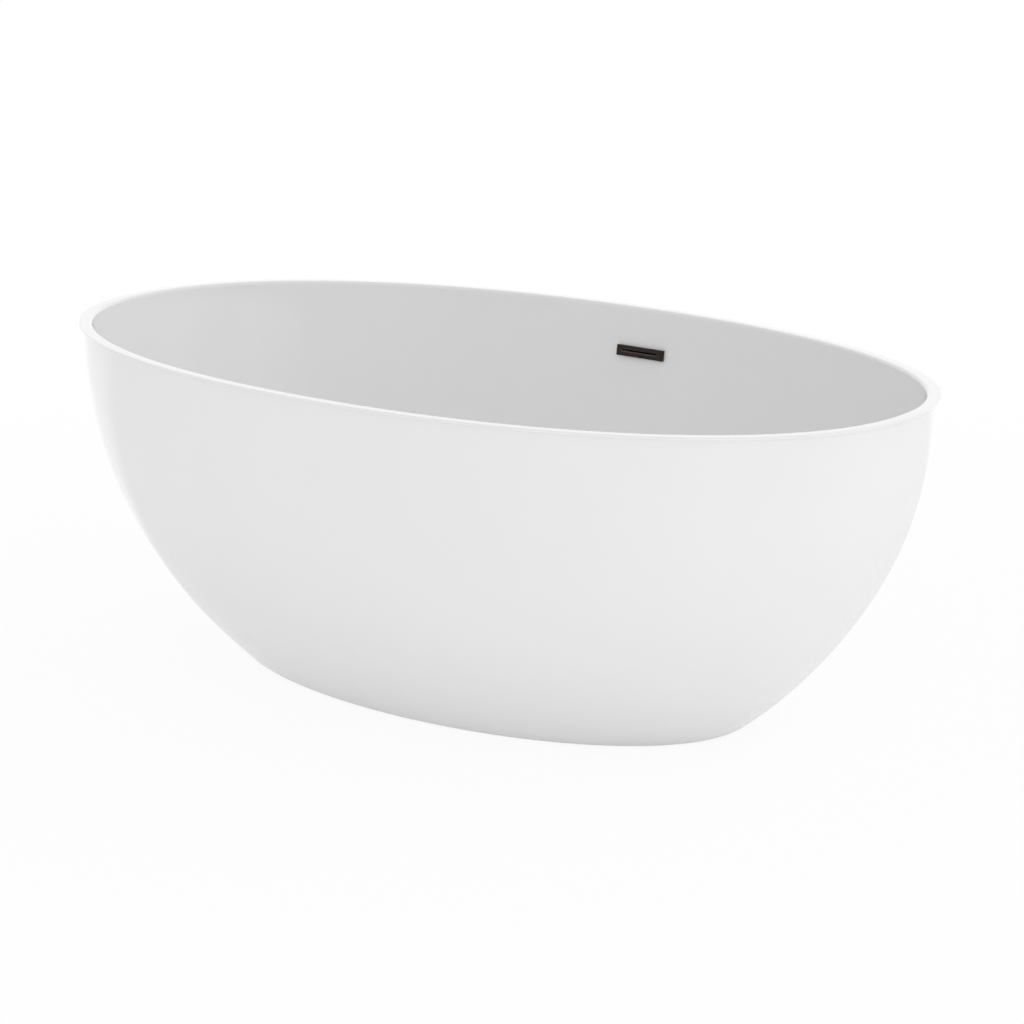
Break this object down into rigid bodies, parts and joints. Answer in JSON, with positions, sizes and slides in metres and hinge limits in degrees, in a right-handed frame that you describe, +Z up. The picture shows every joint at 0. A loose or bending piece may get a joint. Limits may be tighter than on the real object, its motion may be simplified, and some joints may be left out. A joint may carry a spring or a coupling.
{
  "type": "freestanding bathtub",
  "caption": "Oval double-walled freestanding bathtub with a flat lipped rim, slotted overflow in the long wall, press-to-close drain stopper and levelling feet under the skirt.",
  "frame": {"origin": "centre of the footprint on the floor, at the underside of the foot pads", "axes": "+X along the tub, +Y towards the wall with the overflow, +Z up"},
  "size_m": [1.7, 0.98, 0.593],
  "materials": {
    "acrylic": "gloss white sanitary acrylic",
    "board": "raw particle board",
    "frame_steel": "black powder coat",
    "zinc_steel": "zinc plated",
    "bronze": "dark oil-rubbed bronze",
    "plain_brass": "plain turned brass",
    "rubber": "moulded rubber",
    "pad_rubber": "moulded rubber foot",
    "plumbing_plastic": "black moulded plastic",
    "pipe_plastic": "white extruded pipe",
    "spring_steel": "drawn spring wire",
    "dark_screws": "blackened"
  },
  "bodies": {
    "tub": {"basin": "acrylic", "skirt": "acrylic", "base_board": "board", "frame_rail_front": "frame_steel", "frame_rail_back": "frame_steel", "frame_cross_bars": "frame_steel", "frame_screws": "zinc_steel", "foot_plates": "frame_steel", "weld_nuts": "zinc_steel", "lock_nuts": "zinc_steel", "skirt_ties": "frame_steel", "drain_flange": "bronze", "drain_gasket_top": "rubber", "drain_gasket_bottom": "rubber", "drain_tee": "plumbing_plastic", "tailpiece": "plain_brass", "tailpiece_washer": "rubber", "tailpiece_nut": "plumbing_plastic", "stopper_cartridge": "plain_brass", "stopper_spring": "spring_steel", "overflow_plate": "bronze", "overflow_gasket": "rubber", "overflow_duct": "plumbing_plastic", "overflow_screws": "dark_screws", "overflow_pipe": "pipe_plastic", "pipe_washer": "rubber", "pipe_nut": "plumbing_plastic"},
    "stopper": {"stopper_cap": "bronze", "stopper_seal": "rubber", "stopper_plunger": "plain_brass"},
    "pad_front_left": {"foot_pad_front_left": "pad_rubber"},
    "stud_front_left": {"foot_stud_front_left": "zinc_steel"},
    "pad_front_right": {"foot_pad_front_right": "pad_rubber"},
    "stud_front_right": {"foot_stud_front_right": "zinc_steel"},
    "pad_back_left": {"foot_pad_back_left": "pad_rubber"},
    "stud_back_left": {"foot_stud_back_left": "zinc_steel"},
    "pad_back_right": {"foot_pad_back_right": "pad_rubber"},
    "stud_back_right": {"foot_stud_back_right": "zinc_steel"}
  },
  "joints": [
    {"name": "stopper_lift", "type": "slide", "parent": "tub", "child": "stopper", "axis": [0, 0, 1], "range_m": [0, 0.009], "deforming": ["stopper_spring"]},
    {"name": "foot_front_left_height", "type": "slide", "parent": "tub", "child": "pad_front_left", "axis": [0, 0, -1], "range_m": [0, 0.025]},
    {"name": "foot_front_left_screw", "type": "hinge", "parent": "pad_front_left", "child": "stud_front_left", "pos_m": [-0.37, -0.145, 0.05], "axis": [0, 0, -1], "range_deg": [0, 5144]},
    {"name": "foot_front_right_height", "type": "slide", "parent": "tub", "child": "pad_front_right", "axis": [0, 0, -1], "range_m": [0, 0.025]},
    {"name": "foot_front_right_screw", "type": "hinge", "parent": "pad_front_right", "child": "stud_front_right", "pos_m": [0.37, -0.145, 0.05], "axis": [0, 0, -1], "range_deg": [0, 5144]},
    {"name": "foot_back_left_height", "type": "slide", "parent": "tub", "child": "pad_back_left", "axis": [0, 0, -1], "range_m": [0, 0.025]},
    {"name": "foot_back_left_screw", "type": "hinge", "parent": "pad_back_left", "child": "stud_back_left", "pos_m": [-0.37, 0.145, 0.05], "axis": [0, 0, -1], "range_deg": [0, 5144]},
    {"name": "foot_back_right_height", "type": "slide", "parent": "tub", "child": "pad_back_right", "axis": [0, 0, -1], "range_m": [0, 0.025]},
    {"name": "foot_back_right_screw", "type": "hinge", "parent": "pad_back_right", "child": "stud_back_right", "pos_m": [0.37, 0.145, 0.05], "axis": [0, 0, -1], "range_deg": [0, 5144]}
  ],
  "couplings": [
    {"joint": "foot_front_left_screw", "follows": "foot_front_left_height", "rad_per_m": 3590.4},
    {"joint": "foot_front_right_screw", "follows": "foot_front_right_height", "rad_per_m": 3590.4},
    {"joint": "foot_back_left_screw", "follows": "foot_back_left_height", "rad_per_m": 3590.4},
    {"joint": "foot_back_right_screw", "follows": "foot_back_right_height", "rad_per_m": 3590.4}
  ]
}
